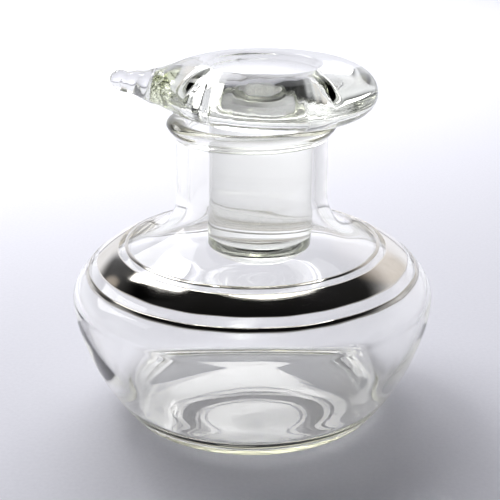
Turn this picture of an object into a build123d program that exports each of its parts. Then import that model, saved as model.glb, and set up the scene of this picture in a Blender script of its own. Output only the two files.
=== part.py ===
from build123d import *
import os
from math import cos, radians, sin

os.makedirs("parts", exist_ok=True)

# Perfume bottle with a loose drop-in glass stopper. Millimetres, +Z up.
# Origin: centre of the foot, on the bottle's own axis, on the table.

# Bottle, outside
body_r = 50.0
widest_z = 33.0
foot_ring_in_r = 33.4
foot_ring_r = 35.2
heel_r = 37.2
heel_z = 1.5
punt_rise = 3.8
neck_r = 20.5
neck_low_z = 63.0
lip_low_z = 77.0
lip_r = 22.9
lip_wide_z = 80.9
bottle_h = 82.4

# Bottle, inside
wall = 2.0
floor_z = 5.6
bore_r = 17.0
bore_low_z = 62.0
bore_top_z = 80.2

# Silver overlay on the shoulder: radii of the edges of each ring
silver_t = 0.2
silver_sink = 0.1
line_low_r = (46.25, 45.15)
band_r = (43.1, 36.9)
line_high_r = (35.3, 34.25)

# Stopper: everything is set out in a frame that leans with it
lean = 1.3
seat_x = 2.85
seat_z = 89.8
plug_r = 14.0
plug_low = 48.2
plug_side_low = 42.4
plug_blend = 1.6
head_off = 2.0
head_r = 28.5
head_flat_r = 18.5
head_up = 7.2
head_down = 6.7

# Hollow in the stopper's head, open at the top
mouth_r = 15.2
mouth_blend = 0.9
hollow_high_r = 14.3
hollow_low_r = 13.4
hollow_floor = 7.0
hollow_corner = 0.8

# Pulled finger tip: distance from the stopper's axis, half width, half thickness, rise
tip_sections = [
    (8.0, 20.5, 6.4, 0.0),
    (18.0, 14.2, 6.1, 0.0),
    (25.0, 9.0, 5.3, 0.1),
    (29.5, 5.9, 4.35, 0.3),
    (33.5, 3.8, 3.2, 0.9),
    (36.5, 2.9, 2.7, 1.5),
]
tip_end_r = 2.75
tip_end_at = 37.4
tip_end_rise = 1.7


def shoulder_curve(mode=Mode.ADD):
    """Outside of the bottle from its widest ring to the foot of the straight neck."""
    return Spline(
        (body_r, widest_z),
        (45.6, 40.9),
        (36.9, 46.6),
        (26.8, 50.7),
        (22.2, 55.2),
        (neck_r, neck_low_z),
        tangents=[(0, 1), (0, 1)],
        mode=mode,
    )


# Bottle: one hollow body of revolution
with BuildPart() as bottle:
    with BuildSketch(Plane.XZ):
        with BuildLine():
            # Underside and heel
            Spline(
                (0, punt_rise),
                (20, 2.6),
                (30, 0.8),
                (foot_ring_in_r, 0),
                tangents=[(1, 0), (1, 0)],
            )
            Line((foot_ring_in_r, 0), (foot_ring_r, 0))
            Spline((foot_ring_r, 0), (heel_r, heel_z), tangents=[(1, 0), (0.75, 1)])
            # Side wall up to the widest ring
            Spline(
                (heel_r, heel_z),
                (43.9, 12.0),
                (47.9, 22.0),
                (body_r, widest_z),
                tangents=[(0.75, 1), (0, 1)],
            )
            shoulder_curve()
            # Neck and fire-polished lip
            Line((neck_r, neck_low_z), (neck_r, lip_low_z))
            Spline((neck_r, lip_low_z), (lip_r, lip_wide_z), tangents=[(0, 1), (0.15, 1)])
            Spline((lip_r, lip_wide_z), (20.6, bottle_h), tangents=[(0, 1), (-1, 0)])
            Spline((20.6, bottle_h), (bore_r, bore_top_z), tangents=[(-1, 0), (-0.3, -1)])
            # Bore and inside of the shoulder
            Line((bore_r, bore_top_z), (bore_r, bore_low_z))
            Spline(
                (bore_r, bore_low_z),
                (19.4, 54.2),
                (25.4, 48.6),
                (35.9, 44.1),
                (44.1, 38.9),
                (body_r - wall, widest_z),
                tangents=[(0, -1), (0, -1)],
            )
            # Inside of the side wall, heel and floor
            Spline(
                (body_r - wall, widest_z),
                (45.9, 22.3),
                (41.9, 12.6),
                (38.1, 5.6),
                (35.0, 3.3),
                (30.0, 3.2),
                (0, floor_z),
                tangents=[(0, -1), (-1, 0)],
            )
            Line((0, floor_z), (0, punt_rise))
        make_face()
    revolve(axis=Axis.Z)
bottle.part.label = "bottle"
export_step(bottle.part, "parts/bottle.step")


def ring_points(r_out, r_in, lift):
    """Three points along the shoulder between two radii, raised by lift off the glass."""
    curve = shoulder_curve(mode=Mode.PRIVATE)
    points = []
    for r in (r_out, (r_out + r_in) / 2, r_in):
        low, high = 0.0, 1.0
        for _ in range(40):
            mid = (low + high) / 2
            if (curve @ mid).X > r:
                low = mid
            else:
                high = mid
        along = curve % low
        base = curve @ low
        points.append((base.X + along.Y * lift, base.Y - along.X * lift))
    return points


# Silver overlay: one thin ring of metal for each stripe, bedded in the glass
def silver_outline(edge_radii):
    """Closed outline of one stripe: down on the glass side, back on the outside."""
    inner = ring_points(edge_radii[0], edge_radii[1], -silver_sink)
    outer = ring_points(edge_radii[0], edge_radii[1], silver_t)
    Spline(*inner)
    Line(inner[2], outer[2])
    Spline(*reversed(outer))
    Line(outer[0], inner[0])


with BuildPart() as silver_line_lower:
    with BuildSketch(Plane.XZ):
        with BuildLine():
            silver_outline(line_low_r)
        make_face()
    revolve(axis=Axis.Z)
silver_line_lower.part.label = "silver_line_lower"
export_step(silver_line_lower.part, "parts/silver_line_lower.step")

with BuildPart() as silver_band:
    with BuildSketch(Plane.XZ):
        with BuildLine():
            silver_outline(band_r)
        make_face()
    revolve(axis=Axis.Z)
silver_band.part.label = "silver_band"
export_step(silver_band.part, "parts/silver_band.step")

with BuildPart() as silver_line_upper:
    with BuildSketch(Plane.XZ):
        with BuildLine():
            silver_outline(line_high_r)
        make_face()
    revolve(axis=Axis.Z)
silver_line_upper.part.label = "silver_line_upper"
export_step(silver_line_upper.part, "parts/silver_line_upper.step")


# Stopper: solid plug with a rounded bottom, bun-shaped head off to one side, pulled tip, hollow in the head
lean_up = Vector(sin(radians(lean)), 0, cos(radians(lean)))
lean_side = Vector(cos(radians(lean)), 0, -sin(radians(lean)))
seat = Vector(seat_x, 0, seat_z)
section = Plane(origin=seat, x_dir=lean_side, z_dir=(0, -1, 0))
stopper_axis = Axis(seat, lean_up)
head_centre = seat + lean_side * head_off
head_section = Plane(origin=head_centre, x_dir=lean_side, z_dir=(0, -1, 0))
head_axis = Axis(head_centre, lean_up)

with BuildPart() as stopper:
    # Plug, with a rounded bottom
    with BuildSketch(section):
        with BuildLine():
            Line((0, 0), (0, -plug_low))
            Spline(
                (0, -plug_low),
                (7.0, -48.0),
                (10.6, -46.8),
                (12.9, -44.8),
                (plug_r, -plug_side_low),
                tangents=[(1, 0), (0, 1)],
            )
            Line((plug_r, -plug_side_low), (plug_r, -head_down - plug_blend))
            ThreePointArc(
                (plug_r, -head_down - plug_blend),
                (plug_r + plug_blend * 0.293, -head_down - plug_blend * 0.293),
                (plug_r + plug_blend, -head_down),
            )
            Line((plug_r + plug_blend, -head_down), (plug_r + plug_blend, 0))
            Line((plug_r + plug_blend, 0), (0, 0))
        make_face()
    revolve(axis=stopper_axis)
    # Head
    with BuildSketch(head_section):
        with BuildLine():
            Line((0, -head_down), (head_flat_r, -head_down))
            EllipticalCenterArc((head_flat_r, 0), head_r - head_flat_r, head_down, start_angle=270, arc_size=90)
            EllipticalCenterArc((head_flat_r, 0), head_r - head_flat_r, head_up, start_angle=0, arc_size=90)
            Line((head_flat_r, head_up), (0, head_up))
            Line((0, head_up), (0, -head_down))
        make_face()
    revolve(axis=head_axis)
    # Finger tip, drawn out of the head and rounded at its end
    for reach, half_w, half_t, rise in tip_sections:
        centre = seat - lean_side * reach + lean_up * rise
        with BuildSketch(Plane(origin=centre, x_dir=(0, 1, 0), z_dir=lean_side * -1)):
            Ellipse(half_w, half_t)
    loft()
    with Locations(seat - lean_side * tip_end_at + lean_up * tip_end_rise):
        Sphere(tip_end_r)
    # Hollow: a straight, slightly tapered wall, a small corner and a flat floor
    with BuildSketch(section):
        with BuildLine():
            Line((0, head_up + 1), (0, -hollow_floor))
            Line((0, -hollow_floor), (hollow_low_r - hollow_corner, -hollow_floor))
            Spline(
                (hollow_low_r - hollow_corner, -hollow_floor),
                (hollow_low_r, -hollow_floor + hollow_corner),
                tangents=[(1, 0), (0, 1)],
            )
            Line((hollow_low_r, -hollow_floor + hollow_corner), (hollow_high_r, head_up - mouth_blend * 2))
            Spline(
                (hollow_high_r, head_up - mouth_blend * 2),
                (mouth_r, head_up),
                tangents=[(0.1, 1), (1, 0.4)],
            )
            Line((mouth_r, head_up), (mouth_r, head_up + 1))
            Line((mouth_r, head_up + 1), (0, head_up + 1))
        make_face()
    revolve(axis=stopper_axis, mode=Mode.SUBTRACT)
stopper.part.label = "stopper"
export_step(stopper.part, "parts/stopper.step")
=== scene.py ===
import math

import bpy
import numpy as np
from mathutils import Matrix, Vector


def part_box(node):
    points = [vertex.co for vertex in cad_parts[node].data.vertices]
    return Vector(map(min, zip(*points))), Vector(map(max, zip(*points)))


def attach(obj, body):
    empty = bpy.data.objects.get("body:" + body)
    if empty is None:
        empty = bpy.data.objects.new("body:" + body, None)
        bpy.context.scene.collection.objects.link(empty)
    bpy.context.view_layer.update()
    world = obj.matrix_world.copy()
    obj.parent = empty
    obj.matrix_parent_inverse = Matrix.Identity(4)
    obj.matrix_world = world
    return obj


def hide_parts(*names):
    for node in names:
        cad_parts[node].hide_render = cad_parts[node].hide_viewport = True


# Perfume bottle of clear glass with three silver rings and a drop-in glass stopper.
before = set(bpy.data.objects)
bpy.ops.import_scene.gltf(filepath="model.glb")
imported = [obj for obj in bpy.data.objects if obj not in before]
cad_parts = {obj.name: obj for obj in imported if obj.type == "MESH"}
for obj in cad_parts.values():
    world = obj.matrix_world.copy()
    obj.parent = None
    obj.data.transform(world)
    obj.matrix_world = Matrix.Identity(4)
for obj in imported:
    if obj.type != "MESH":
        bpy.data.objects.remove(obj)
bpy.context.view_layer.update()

# ---------------------------------------------------------------- frame
# The shapes below are written in millimetres in the CAD frame and scaled from the CAD boxes.
bottle_low, bottle_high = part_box("bottle")
BODY_R = 50.0
BOTTLE_H = 82.4
R_UNIT = (bottle_high[0] - bottle_low[0]) / 2 / BODY_R
Z_UNIT = (bottle_high[2] - bottle_low[2]) / BOTTLE_H


# ---------------------------------------------------------------- curves
def spline(points, start, end, step):
    """Points about step apart on a cubic spline, clamped to the end directions that aren't None."""
    p = np.array(points, float)
    d = np.hypot(*np.diff(p, axis=0).T)
    t = np.r_[0, np.cumsum(d)]
    n = len(p)
    a = np.zeros((n, n))
    b = np.zeros((n, 2))
    for i in range(1, n - 1):
        a[i, i - 1] = d[i]
        a[i, i] = 2 * (d[i - 1] + d[i])
        a[i, i + 1] = d[i - 1]
        b[i] = 3 * (d[i] * (p[i] - p[i - 1]) / d[i - 1] + d[i - 1] * (p[i + 1] - p[i]) / d[i])
    for row, other, tangent in ((0, 1, start), (n - 1, n - 2, end)):
        if tangent is None:
            a[row, row] = 2
            a[row, other] = 1
            k = 0 if row == 0 else n - 2
            b[row] = 3 * (p[k + 1] - p[k]) / d[k]
        else:
            a[row, row] = 1
            b[row] = np.array(tangent, float) / np.hypot(*tangent)
    m = np.linalg.solve(a, b)
    out = []
    for k in range(n - 1):
        count = max(3, int(math.ceil(d[k] / step)))
        s = np.linspace(0, 1, count, endpoint=False)[:, None]
        h00 = 2 * s**3 - 3 * s**2 + 1
        h10 = s**3 - 2 * s**2 + s
        h01 = -2 * s**3 + 3 * s**2
        h11 = s**3 - s**2
        out.append(h00 * p[k] + h10 * d[k] * m[k] + h01 * p[k + 1] + h11 * d[k] * m[k + 1])
    out.append(p[-1:])
    return np.vstack(out)


def straight(a, b, step=0.6):
    """Evenly spaced points from a to b."""
    count = max(2, int(math.ceil(math.dist(a, b) / step)) + 1)
    return np.linspace(a, b, count)


def chain(*runs):
    """Joins runs end to end, leaving out the doubled points."""
    out = [runs[0]]
    for run in runs[1:]:
        out.append(run[1:] if np.allclose(run[0], out[-1][-1], atol=1e-6) else run)
    return np.vstack(out)


# ---------------------------------------------------------------- meshes
def mesh_object(name, verts, faces, material, smooth=True):
    mesh = bpy.data.meshes.new(name)
    mesh.from_pydata([tuple(map(float, v)) for v in verts], [], faces)
    mesh.validate()
    mesh.polygons.foreach_set("use_smooth", [smooth] * len(mesh.polygons))
    mesh.update()
    obj = bpy.data.objects.new(name, mesh)
    bpy.context.scene.collection.objects.link(obj)
    obj.data.materials.append(material)
    return obj


def ring_faces(rings, around, closed=False):
    """Quads between successive rings; closed joins the last ring to the first."""
    faces = []
    for i in range(rings if closed else rings - 1):
        a = i * around
        b = (i + 1) % rings * around
        for j in range(around):
            k = (j + 1) % around
            faces.append((a + j, a + k, b + k, b + j))
    return faces


def capped_grid(grid, first, last):
    """Vertices and faces of a closed body: rings of points with a pole at each end."""
    rings, around = grid.shape[:2]
    verts = np.vstack([grid.reshape(-1, 3), first[None], last[None]])
    faces = ring_faces(rings, around)
    n = rings * around
    top = (rings - 1) * around
    for j in range(around):
        k = (j + 1) % around
        faces.append((n, k, j))
        faces.append((n + 1, top + j, top + k))
    return verts, faces


# ---------------------------------------------------------------- materials
def new_material(name):
    m = bpy.data.materials.new(name)
    m.use_nodes = True
    nt = m.node_tree
    nt.nodes.clear()
    out = nt.nodes.new("ShaderNodeOutputMaterial")
    bsdf = nt.nodes.new("ShaderNodeBsdfPrincipled")
    nt.links.new(bsdf.outputs["BSDF"], out.inputs["Surface"])
    return m, nt, bsdf, out


def object_coords(nt, scale=(1, 1, 1)):
    tc = nt.nodes.new("ShaderNodeTexCoord")
    mp = nt.nodes.new("ShaderNodeMapping")
    mp.inputs["Scale"].default_value = scale
    nt.links.new(tc.outputs["Object"], mp.inputs["Vector"])
    return mp.outputs["Vector"]


def noise(nt, coords, scale, detail, rough):
    n = nt.nodes.new("ShaderNodeTexNoise")
    n.inputs["Scale"].default_value = scale
    n.inputs["Detail"].default_value = detail
    n.inputs["Roughness"].default_value = rough
    nt.links.new(coords, n.inputs["Vector"])
    return n.outputs["Fac"]


def remap(nt, value, a, b, c, d, smooth=False):
    r = nt.nodes.new("ShaderNodeMapRange")
    r.interpolation_type = "SMOOTHSTEP" if smooth else "LINEAR"
    r.inputs["From Min"].default_value = a
    r.inputs["From Max"].default_value = b
    r.inputs["To Min"].default_value = c
    r.inputs["To Max"].default_value = d
    nt.links.new(value, r.inputs["Value"])
    return r.outputs["Result"]


def bump(nt, height, strength, distance):
    b = nt.nodes.new("ShaderNodeBump")
    b.inputs["Strength"].default_value = strength
    b.inputs["Distance"].default_value = distance
    nt.links.new(height, b.inputs["Height"])
    return b.outputs["Normal"]


def glass(name, tint, density):
    """Clear soda glass: faint surface draw marks, light handling marks, and a tint that gathers with depth."""
    m, nt, bsdf, out = new_material(name)
    bsdf.inputs["Base Color"].default_value = (1, 1, 1, 1)
    bsdf.inputs["Transmission Weight"].default_value = 1.0
    bsdf.inputs["IOR"].default_value = 1.5
    coords = object_coords(nt)
    marks = remap(nt, noise(nt, coords, 38.0, 3.0, 0.6), 0.56, 0.8, 0.0, 0.035, True)
    nt.links.new(marks, bsdf.inputs["Roughness"])
    drawn = noise(nt, object_coords(nt, (1, 1, 0.25)), 55.0, 1.0, 0.4)
    nt.links.new(bump(nt, drawn, 0.25, 0.0002), bsdf.inputs["Normal"])
    vol = nt.nodes.new("ShaderNodeVolumeAbsorption")
    vol.inputs["Color"].default_value = tint
    vol.inputs["Density"].default_value = density
    nt.links.new(vol.outputs["Volume"], out.inputs["Volume"])
    return m


def silver(name, dull, bright):
    """Thin silver overlay: fine wipe scratches, and tarnish that clouds it from bright to dull."""
    m, nt, bsdf, _ = new_material(name)
    bsdf.inputs["Metallic"].default_value = 1.0
    coords = object_coords(nt)
    cloud = noise(nt, coords, 60.0, 4.0, 0.6)
    ramp = nt.nodes.new("ShaderNodeValToRGB")
    ramp.color_ramp.elements[0].position = 0.35
    ramp.color_ramp.elements[0].color = dull
    ramp.color_ramp.elements[1].position = 0.62
    ramp.color_ramp.elements[1].color = bright
    nt.links.new(cloud, ramp.inputs["Fac"])
    nt.links.new(ramp.outputs["Color"], bsdf.inputs["Base Color"])
    nt.links.new(remap(nt, cloud, 0.4, 0.75, 0.05, 0.14, True), bsdf.inputs["Roughness"])
    scratch = noise(nt, object_coords(nt, (1, 1, 12)), 260.0, 2.0, 0.7)
    nt.links.new(bump(nt, scratch, 0.12, 0.00005), bsdf.inputs["Normal"])
    return m


BOTTLE_GLASS = glass("bottle_glass", (0.93, 0.93, 0.63, 1), 14.0)
STOPPER_GLASS = glass("stopper_glass", (0.87, 0.90, 0.72, 1), 8.0)
SILVER = silver("silver", (0.72, 0.68, 0.60, 1), (0.86, 0.83, 0.78, 1))
# A darker copy of the silver, dull and bright colours alike, used on the two thin lines.
DARKER_SILVER = silver("darker_silver", (0.50, 0.48, 0.43, 1), (0.74, 0.71, 0.66, 1))


# ---------------------------------------------------------------- bottle
AROUND = 288
WIDEST_Z = 33.0
NECK_R = 20.5
NECK_LOW_Z = 63.0
LIP_LOW_Z = 77.0
LIP_R = 22.9
LIP_WIDE_Z = 80.9
BORE_R = 17.0
BORE_LOW_Z = 62.0
BORE_TOP_Z = 80.2
FOOT_R = 34.6
HEEL = (37.2, 1.5)
HEEL_SLOPE = (0.75, 1)
PUNT_Z = 3.8
FLOOR_Z = 5.6
WALL = 2.0
POLE_R = 0.4
UPWARD, DOWNWARD, OUTWARD, INWARD = (0, 1), (0, -1), (1, 0), (-1, 0)

SHOULDER = spline(
    [
        (BODY_R, WIDEST_Z),
        (45.6, 40.9),
        (36.9, 46.6),
        (26.8, 50.7),
        (22.2, 55.2),
        (NECK_R, NECK_LOW_Z),
    ],
    UPWARD,
    UPWARD,
    0.3,
)
LIP_TOP = (20.6, BOTTLE_H)
outside = chain(
    spline([(POLE_R, PUNT_Z), (20, 2.6), (30, 0.8), (FOOT_R, 0)], OUTWARD, OUTWARD, 0.5),
    spline([(FOOT_R, 0), HEEL], OUTWARD, HEEL_SLOPE, 0.15),
    spline([HEEL, (43.9, 12.0), (47.9, 22.0), (BODY_R, WIDEST_Z)], HEEL_SLOPE, UPWARD, 0.5),
    SHOULDER,
    straight((NECK_R, NECK_LOW_Z), (NECK_R, LIP_LOW_Z)),
    spline([(NECK_R, LIP_LOW_Z), (LIP_R, LIP_WIDE_Z)], UPWARD, (0.15, 1), 0.15),
    spline([(LIP_R, LIP_WIDE_Z), LIP_TOP], UPWARD, INWARD, 0.12),
    spline([LIP_TOP, (BORE_R, BORE_TOP_Z)], INWARD, (-0.3, -1), 0.12),
)
inside = chain(
    straight((BORE_R, BORE_TOP_Z), (BORE_R, BORE_LOW_Z)),
    spline(
        [
            (BORE_R, BORE_LOW_Z),
            (19.4, 54.2),
            (25.4, 48.6),
            (35.9, 44.1),
            (44.1, 38.9),
            (BODY_R - WALL, WIDEST_Z),
        ],
        DOWNWARD,
        DOWNWARD,
        0.4,
    ),
    spline(
        [
            (BODY_R - WALL, WIDEST_Z),
            (45.9, 22.3),
            (41.9, 12.6),
            (38.1, 5.6),
            (35.0, 3.3),
            (30.0, 3.2),
            (POLE_R, FLOOR_Z),
        ],
        DOWNWARD,
        INWARD,
        0.5,
    ),
)
phi_all = np.linspace(0, 2 * math.pi, AROUND, endpoint=False)


def lathe(profile, wave):
    """Rings of points for a profile of (radius, height) in millimetres, with hand-blown unevenness."""
    r = profile[:, 0][:, None]
    z = profile[:, 1][:, None] + 0 * phi_all
    rr = r + wave(phi_all[None], profile[:, 1][:, None], r)
    return np.stack([rr * np.cos(phi_all) * R_UNIT, rr * np.sin(phi_all) * R_UNIT, z * Z_UNIT], -1)


OUTER_WAVE = 0.09
OUTER_WAVE_FULL_R = 20.0
INNER_WAVE = 0.13
INNER_WAVE_FROM_R = 15.0
INNER_WAVE_OVER = 18.0
INNER_WAVE_LEAST = 0.15


def outer_wave(phi, z, r):
    """Faint lobes left by the blowing, under a tenth of a millimetre and always inwards."""
    lobes = 0.5 + 0.25 * np.sin(2 * phi + 0.7 + z * 0.03) + 0.25 * np.sin(5 * phi + 2.1 - z * 0.05)
    return -OUTER_WAVE * lobes * np.clip(r / OUTER_WAVE_FULL_R, 0, 1)


def inner_wave(phi, z, r):
    """The inside of the body wanders more than the outside; the bore hardly at all."""
    lobes = np.sin(3 * phi + 0.4 + z * 0.06) + 0.6 * np.sin(7 * phi + 1.9 - z * 0.09)
    grow = np.clip((r - INNER_WAVE_FROM_R) / INNER_WAVE_OVER, INNER_WAVE_LEAST, 1)
    return INNER_WAVE * lobes * grow


grid_out = lathe(outside, outer_wave)
grid_in = lathe(inside[1:], inner_wave)
grid = np.vstack([grid_out, grid_in])
first = np.array([0, 0, PUNT_Z * Z_UNIT])
last = np.array([0, 0, FLOOR_Z * Z_UNIT])
verts, faces = capped_grid(grid, first, last)
bottle = mesh_object("bottle_glass_body", verts, faces, BOTTLE_GLASS)


# ---------------------------------------------------------------- silver rings
RING_LIFT = 0.055
RING_SINK = 0.05
RING_STEP = 0.3
RING_UNEVEN = 0.05
WIDE_BAND = (43.1, 36.9)
OUTER_LINE = (46.25, 45.15)
INNER_LINE = (35.3, 34.25)


def shoulder_at(r):
    """Point on the shoulder and its outward normal at radius r."""
    radii = SHOULDER[:, 0]
    i = int(np.argmax(radii <= r))
    i = max(1, min(i, len(radii) - 2))
    f = (radii[i - 1] - r) / (radii[i - 1] - radii[i])
    point = SHOULDER[i - 1] + (SHOULDER[i] - SHOULDER[i - 1]) * f
    along = SHOULDER[i + 1] - SHOULDER[i - 1]
    along = along / np.hypot(*along)
    return point, np.array([along[1], -along[0]])


def silver_ring(name, r_out, r_in, metal):
    """A thin closed ring of metal lying in the shoulder's surface, with a slightly wandering edge."""
    count = max(4, int((r_out - r_in) / RING_STEP))
    s = np.linspace(0, 1, count)
    rows = []
    edge_low = RING_UNEVEN * (np.sin(9 * phi_all + 1.0) + 0.7 * np.sin(23 * phi_all + 2.0))
    edge_high = RING_UNEVEN * (np.sin(11 * phi_all + 3.0) + 0.7 * np.sin(19 * phi_all + 0.4))
    for lift, order in ((RING_LIFT, s), (-RING_SINK, s[::-1])):
        for q in order:
            r = (r_out + edge_low) * (1 - q) + (r_in + edge_high) * q
            pts = []
            for j, rj in enumerate(r):
                p, n = shoulder_at(rj)
                w = outer_wave(phi_all[j], p[1], p[0])
                pts.append((p[0] + w + n[0] * lift, p[1] + n[1] * lift))
            ring_r, ring_z = np.array(pts).T
            x = ring_r * np.cos(phi_all) * R_UNIT
            y = ring_r * np.sin(phi_all) * R_UNIT
            rows.append(np.stack([x, y, ring_z * Z_UNIT], -1))
    rows = np.array(rows)
    faces = ring_faces(len(rows), AROUND, closed=True)
    return mesh_object(name, rows.reshape(-1, 3), faces, metal)


band = silver_ring("silver_wide_band", *WIDE_BAND, SILVER)
line_low = silver_ring("silver_outer_line", *OUTER_LINE, DARKER_SILVER)
line_high = silver_ring("silver_inner_line", *INNER_LINE, DARKER_SILVER)

# ---------------------------------------------------------------- stopper
LEAN = math.radians(1.3)
SEAT = np.array([2.85, 0.0, 89.8])
SIDE = np.array([math.cos(LEAN), 0, -math.sin(LEAN)])
UP = np.array([math.sin(LEAN), 0, math.cos(LEAN)])
BACK = np.array([0.0, 1.0, 0.0])
HEAD_OFF = 2.0
HEAD_R = 28.5
FLAT_R = 18.5
HEAD_UP = 7.2
HEAD_DOWN = 6.7
MOUTH_R = 15.2
MOUTH_EDGE_R = MOUTH_R + 0.9
MOUTH_LIP = (MOUTH_R - 0.25, 6.4)
HOLLOW_HIGH = (14.3, 5.2)
HOLLOW_LOW = (13.4, -6.2)
HOLLOW_FLOOR_R = 12.6
HOLLOW_FLOOR = -7.0
PLUG_R = 14.0
PLUG_BOTTOM = -48.2
PLUG_SIDE_LOW = -42.4
STEM_TOP = -8.3
STEM_FOOT_R = 15.6
STOPPER_POLE_R = 0.3

# Finger tip: distance from the stopper's axis, half width, half thickness, rise
TIP_AT = np.array([8.0, 18.0, 25.0, 29.5, 33.5, 36.5, 37.4])
TIP_W = np.array([20.5, 14.2, 9.0, 5.9, 3.8, 2.9, 2.75])
TIP_T = np.array([6.4, 6.1, 5.3, 4.35, 3.2, 2.75, 2.75])
TIP_RISE = np.array([0.0, 0.0, 0.1, 0.3, 0.9, 1.5, 1.7])
TIP_END_R = 2.75

# Its twisted threads: where they begin, how soon they are full, pitch and depth of each kind
THREADS_FROM = 22.0
THREADS_OVER = 7.0
SLOW_PITCH, SLOW_DEPTH = 6.1, 0.12
QUICK_PITCH, QUICK_DEPTH = 3.7, 0.08

# Head field: millimetres per unit of the bun's own field, width of the blend from bun to tip, and
# the value taken where there is no tip
FIELD_SCALE = 7.0
BLEND = 2.6
FAR_OUTSIDE = 50.0


def along_tip(x, values):
    """Smooth value along the finger tip at distance x from the stopper's axis."""
    fine = spline(list(zip(TIP_AT, values)), None, None, 0.1)
    return np.interp(x, fine[:, 0], fine[:, 1])


def pulled_threads(reach, y, z):
    """Twisted threads left in the finger tip where the hot glass was drawn out and turned."""
    turn = np.arctan2(z, y)
    grow = np.clip((reach - THREADS_FROM) / THREADS_OVER, 0, 1)
    slow = np.sin(2 * math.pi * reach / SLOW_PITCH + turn + 0.6)
    quick = np.sin(2 * math.pi * reach / QUICK_PITCH - 2 * turn + 1.3)
    return grow * (SLOW_DEPTH * slow + QUICK_DEPTH * quick)


def head_field(x, y, z):
    """Below 0 inside the head: a bun off to one side, blended into the pulled finger tip."""
    rad = np.hypot(x - HEAD_OFF, y)
    rise = np.where(z > 0, HEAD_UP, HEAD_DOWN)
    q = np.clip(rad - FLAT_R, 0, None) / (HEAD_R - FLAT_R)
    bun = (np.sqrt(q**2 + (z / rise) ** 2) - 1) * FIELD_SCALE
    reach = -x
    w = along_tip(reach, TIP_W)
    t = along_tip(reach, TIP_T)
    mid = along_tip(reach, TIP_RISE)
    tube = (np.sqrt((y / w) ** 2 + ((z - mid) / t) ** 2) - 1) * np.minimum(w, t)
    ball = np.sqrt((reach - TIP_AT[-1]) ** 2 + y**2 + (z - TIP_RISE[-1]) ** 2) - TIP_END_R
    finger = np.where(reach > TIP_AT[-1], ball, tube) + pulled_threads(reach, y, z - mid)
    finger = np.where(reach < TIP_AT[0], FAR_OUTSIDE, finger)
    h = np.clip(BLEND - np.abs(bun - finger), 0, None) / BLEND
    return np.minimum(bun, finger) - h * h * BLEND * 0.25


BISECTIONS = 40


def bisect(inside_at, outside_at, field):
    """Where field changes sign between an inside and an outside value, element by element."""
    low, high = inside_at.copy(), outside_at.copy()
    for _ in range(BISECTIONS):
        mid = (low + high) / 2
        inside_now = field(mid) < 0
        low = np.where(inside_now, mid, low)
        high = np.where(inside_now, high, mid)
    return (low + high) / 2


# Directions round the stopper, gathered towards the finger tip
S_AROUND = 560
UNDER_ROWS = 46
OVER_ROWS = 60
EVEN_SHARE = 0.28
v = np.linspace(-1, 1, S_AROUND, endpoint=False)
theta = math.pi + math.pi * (EVEN_SHARE * v + (1 - EVEN_SHARE) * v**3)
cos_t, sin_t = np.cos(theta), np.sin(theta)
TIP_MID_FROM = TIP_AT[1]
INSIDE_RIM, OUTSIDE_RIM = 15.0, 44.0
OUTSIDE_HEIGHT = 9.5


def mid_height(x):
    """Height of the head's rim: level round the bun, rising along the finger tip."""
    return np.where(-x > TIP_MID_FROM, along_tip(np.clip(-x, TIP_AT[0], TIP_AT[-1]), TIP_RISE), 0.0)


rim = bisect(
    np.full(S_AROUND, INSIDE_RIM),
    np.full(S_AROUND, OUTSIDE_RIM),
    lambda rho: head_field(rho * cos_t, rho * sin_t, mid_height(rho * cos_t)),
)


def head_rows(start_r, side, count):
    """Rings over the top (side 1) or underside (side -1) of the head, from start_r out to the rim."""
    rows = []
    for s in np.linspace(0, 1, count)[:-1]:
        rho = start_r + (rim - start_r) * math.sin(s * math.pi / 2)
        x, y = rho * cos_t, rho * sin_t
        mid = mid_height(x)
        z = bisect(mid, mid + side * OUTSIDE_HEIGHT, lambda zz: head_field(x, y, zz))
        rows.append(np.stack([x, y, z], -1))
    x, y = rim * cos_t, rim * sin_t
    rows.append(np.stack([x, y, mid_height(x)], -1))
    return rows


def stem_rows(profile):
    """Plain rings round the stopper's own axis for a profile of (radius, height)."""
    return [np.stack([r * cos_t, r * sin_t, np.full(S_AROUND, z)], -1) for r, z in profile]


RIPPLE_WIDE = 0.03
RIPPLE_FINE = 0.02
RIPPLE_TOP = 6.8
RIPPLE_EASE_R = 0.6
RIPPLE_EASE_Z = 3.0


def hollow_rows(profile):
    """Rings of the head's hollow, whose wall is finely rippled by the tool that opened it."""
    rows = []
    for r, z in profile:
        swell = np.clip((r - HOLLOW_FLOOR_R) / RIPPLE_EASE_R, 0, 1)
        swell = swell * np.clip((RIPPLE_TOP - z) / RIPPLE_EASE_Z, 0, 1)
        wander = RIPPLE_WIDE * np.sin(13 * theta + 0.2 * z)
        wander = wander + RIPPLE_FINE * np.sin(31 * theta - 0.3 * z + 1.0)
        rr = r + swell * wander
        rows.append(np.stack([rr * cos_t, rr * sin_t, np.full(S_AROUND, z)], -1))
    return rows


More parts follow.
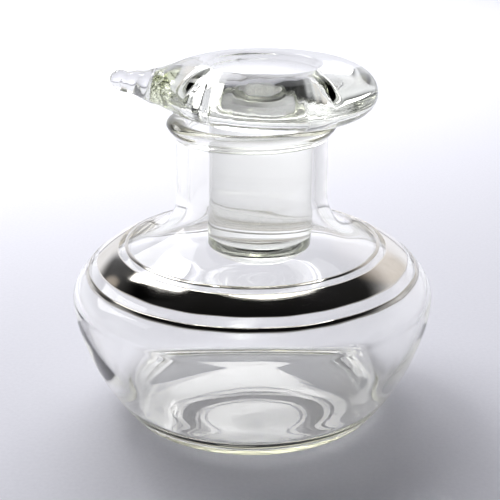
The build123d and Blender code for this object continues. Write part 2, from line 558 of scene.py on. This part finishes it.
plug_outside = chain(
    spline(
        [
            (STOPPER_POLE_R, PLUG_BOTTOM),
            (7.0, -48.0),
            (10.6, -46.8),
            (12.9, -44.8),
            (PLUG_R, PLUG_SIDE_LOW),
        ],
        OUTWARD,
        UPWARD,
        0.2,
    ),
    straight((PLUG_R, PLUG_SIDE_LOW), (PLUG_R, STEM_TOP), 0.8),
    spline([(PLUG_R, STEM_TOP), (STEM_FOOT_R, -HEAD_DOWN)], UPWARD, OUTWARD, 0.2),
)
hollow = chain(
    spline([(MOUTH_EDGE_R, HEAD_UP), MOUTH_LIP], INWARD, (-0.5, -1), 0.15),
    spline([MOUTH_LIP, HOLLOW_HIGH], (-0.5, -1), (-0.08, -1), 0.3),
    straight(HOLLOW_HIGH, HOLLOW_LOW, 0.6),
    spline([HOLLOW_LOW, (HOLLOW_FLOOR_R, HOLLOW_FLOOR)], DOWNWARD, INWARD, 0.15),
    straight((HOLLOW_FLOOR_R, HOLLOW_FLOOR), (STOPPER_POLE_R, HOLLOW_FLOOR), 0.8),
)
rows = stem_rows(plug_outside)
rows += head_rows(STEM_FOOT_R, -1, UNDER_ROWS)[1:]
rows += head_rows(MOUTH_EDGE_R, 1, OVER_ROWS)[::-1][1:-1]
rows += hollow_rows(hollow)
local = np.array(rows)


def to_frame(points):
    """From the stopper's leaning frame, in millimetres, to the CAD frame in metres."""
    world = SEAT + points[..., 0:1] * SIDE + points[..., 1:2] * BACK + points[..., 2:3] * UP
    return world * np.array([R_UNIT, R_UNIT, Z_UNIT])


verts, faces = capped_grid(
    to_frame(local),
    to_frame(np.array([0, 0, PLUG_BOTTOM])),
    to_frame(np.array([0, 0, HOLLOW_FLOOR])),
)
stopper = mesh_object("stopper_glass_body", verts, faces, STOPPER_GLASS)

for piece, node, body in (
    (bottle, "bottle", "bottle"),
    (band, "silver_band", "bottle"),
    (line_low, "silver_line_lower", "bottle"),
    (line_high, "silver_line_upper", "bottle"),
    (stopper, "stopper", "stopper"),
):
    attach(piece, body)
    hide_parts(node)

# ---------------------------------------------------------------- stage
TABLE_R = 3.0
TABLE_SIDES = 96
TABLE_DROP = 0.00002

m, nt, bsdf, _ = new_material("pale_table")
coords = object_coords(nt)
grain = noise(nt, coords, 900.0, 3.0, 0.6)
ramp = nt.nodes.new("ShaderNodeValToRGB")
ramp.color_ramp.elements[0].position = 0.3
ramp.color_ramp.elements[0].color = (0.80, 0.80, 0.87, 1)
ramp.color_ramp.elements[1].position = 0.7
ramp.color_ramp.elements[1].color = (0.84, 0.84, 0.91, 1)
nt.links.new(grain, ramp.inputs["Fac"])
nt.links.new(ramp.outputs["Color"], bsdf.inputs["Base Color"])
bsdf.inputs["Roughness"].default_value = 0.9
bsdf.inputs["Specular IOR Level"].default_value = 0.1
nt.links.new(bump(nt, grain, 0.05, 0.0002), bsdf.inputs["Normal"])
angles = np.linspace(0, 2 * math.pi, TABLE_SIDES, endpoint=False)
disc = [(TABLE_R * math.cos(a), TABLE_R * math.sin(a), 0.0) for a in angles]
table = mesh_object("table_top", disc, [tuple(range(TABLE_SIDES))], m, smooth=False)
table.location = (0, 0, -TABLE_DROP)


def area_light(name, at, to, size, power):
    data = bpy.data.lights.new(name, "AREA")
    data.shape = "RECTANGLE"
    data.size, data.size_y = size
    data.energy = power
    obj = bpy.data.objects.new(name, data)
    bpy.context.scene.collection.objects.link(obj)
    obj.location = at
    d = np.array(to, float) - np.array(at, float)
    obj.rotation_euler = Vector(d).to_track_quat("-Z", "Y").to_euler()
    return obj


# World: a bright wall, brightest and highest at the back, a dark gap in it at the left, a dark
# ceiling, a softbox in the gap and two warm patches. Angles are in degrees, and the azimuth is 0
# at +Y and positive towards +X.
world = bpy.data.worlds.new("studio")
bpy.context.scene.world = world
world.use_nodes = True
wt = world.node_tree
wt.nodes.clear()
w_out = wt.nodes.new("ShaderNodeOutputWorld")
tc = wt.nodes.new("ShaderNodeTexCoord")
sep = wt.nodes.new("ShaderNodeSeparateXYZ")
wt.links.new(tc.outputs["Generated"], sep.inputs["Vector"])


def background(strength_socket, colour):
    bg = wt.nodes.new("ShaderNodeBackground")
    bg.inputs["Color"].default_value = colour
    wt.links.new(strength_socket, bg.inputs["Strength"])
    return bg.outputs["Background"]


def add(a, b):
    n = wt.nodes.new("ShaderNodeAddShader")
    wt.links.new(a, n.inputs[0])
    wt.links.new(b, n.inputs[1])
    return n.outputs["Shader"]


def math_node(operation, a, b=None):
    n = wt.nodes.new("ShaderNodeMath")
    n.operation = operation
    wt.links.new(a, n.inputs[0])
    if b is not None:
        wt.links.new(b, n.inputs[1])
    return n.outputs["Value"]


def product(a, b):
    return math_node("MULTIPLY", a, b)


def direction(azimuth, elevation):
    """Unit vector; azimuth 0 is +Y, positive towards +X."""
    a, e = math.radians(azimuth), math.radians(elevation)
    return (math.sin(a) * math.cos(e), math.cos(a) * math.cos(e), math.sin(e))


def facing(azimuth, elevation):
    """Cosine of the angle between the ray and a direction."""
    n = wt.nodes.new("ShaderNodeVectorMath")
    n.operation = "DOT_PRODUCT"
    n.inputs[1].default_value = direction(azimuth, elevation)
    wt.links.new(tc.outputs["Generated"], n.inputs[0])
    return n.outputs["Value"]


def spot(azimuth, elevation, inner, outer, strength):
    """A round patch of light, full inside inner degrees and gone at outer degrees."""
    return remap(
        wt,
        facing(azimuth, elevation),
        math.cos(math.radians(outer)),
        math.cos(math.radians(inner)),
        0.0,
        strength,
        True,
    )


AZIMUTH = math_node("ARCTAN2", sep.outputs["X"], sep.outputs["Y"])
ELEVATION = math_node("ARCSINE", sep.outputs["Z"])


def span(angle, low, high, soft):
    """1 between two angles in degrees, falling to 0 over soft degrees either side."""
    up = remap(wt, angle, math.radians(low - soft), math.radians(low + soft), 0.0, 1.0, True)
    down = remap(wt, angle, math.radians(high - soft), math.radians(high + soft), 1.0, 0.0, True)
    return product(up, down)


def window(azimuths, elevations, soft, low, high):
    """low outside a rectangle of directions and high inside it."""
    both = product(span(AZIMUTH, *azimuths, soft), span(ELEVATION, *elevations, soft))
    return remap(wt, both, 0.0, 1.0, low, high)


WALL_FULL_TO = math.sin(math.radians(26))
WALL_GONE_FROM = math.sin(math.radians(44))
CEILING = 0.02
ring = remap(wt, sep.outputs["Z"], WALL_GONE_FROM, WALL_FULL_TO, CEILING, 1.0, True)
high_back = window((-20, 20), (20, 62), 6, 0.0, 0.9)
ring_back = remap(wt, sep.outputs["Y"], -0.3, 0.7, 0.25, 1.05, True)
left_gap = window((-66, -24), (16, 60), 5, 1.0, 0.08)
right_dim = window((24, 52), (12, 40), 6, 1.0, 0.72)
wall = product(math_node("MAXIMUM", ring, high_back), ring_back)
wall = product(product(wall, left_gap), right_dim)
softbox = window((-42, -26), (37.5, 57), 2.0, 0.0, 6.0)
lit = add(background(wall, (0.93, 0.94, 1.0, 1)), background(softbox, (1.0, 1.0, 1.0, 1)))
lit = add(lit, background(spot(-47, 26, 2, 7, 0.35), (1.0, 0.88, 0.76, 1)))
lit = add(lit, background(spot(34, 26, 6, 18, 0.16), (1.0, 0.74, 0.45, 1)))
wt.links.new(lit, w_out.inputs["Surface"])

back_light = area_light("back_light", (-0.2, 0.55, 0.45), (-0.15, 0.48, 0), (0.9, 0.5), 4.0)
back_light.visible_glossy = False
top_light = area_light("top_light", (-0.2, 0.45, 0.7), (-0.15, 0.3, 0), (1.2, 0.6), 3.0)
top_light.visible_glossy = False

# ---------------------------------------------------------------- camera
F_PX = 1130.0
FRAME_PX = 500.0
SENSOR_MM = 36.0
CAMERA_AT = (-0.23, -294.0, 156.13)
LOOKING_DOWN = 20.82
ROLL = 0.2
cam_data = bpy.data.cameras.new("camera")
cam_data.sensor_fit = "HORIZONTAL"
cam_data.sensor_width = SENSOR_MM
cam_data.lens = F_PX / FRAME_PX * SENSOR_MM
cam = bpy.data.objects.new("camera", cam_data)
bpy.context.scene.collection.objects.link(cam)
cam.location = (CAMERA_AT[0] * R_UNIT, CAMERA_AT[1] * R_UNIT, CAMERA_AT[2] * Z_UNIT)
cam.rotation_euler = (math.radians(90 - LOOKING_DOWN), math.radians(ROLL), 0)
bpy.context.scene.camera = cam

sc = bpy.context.scene
sc.view_settings.view_transform = "Standard"
sc.view_settings.look = "None"
sc.cycles.max_bounces = 32
sc.cycles.transmission_bounces = 32
sc.cycles.glossy_bounces = 16
sc.cycles.diffuse_bounces = 6
sc.cycles.transparent_max_bounces = 16
sc.cycles.caustics_refractive = True
sc.cycles.caustics_reflective = True
sc.cycles.blur_glossy = 0.3
sc.cycles.sample_clamp_indirect = 8.0
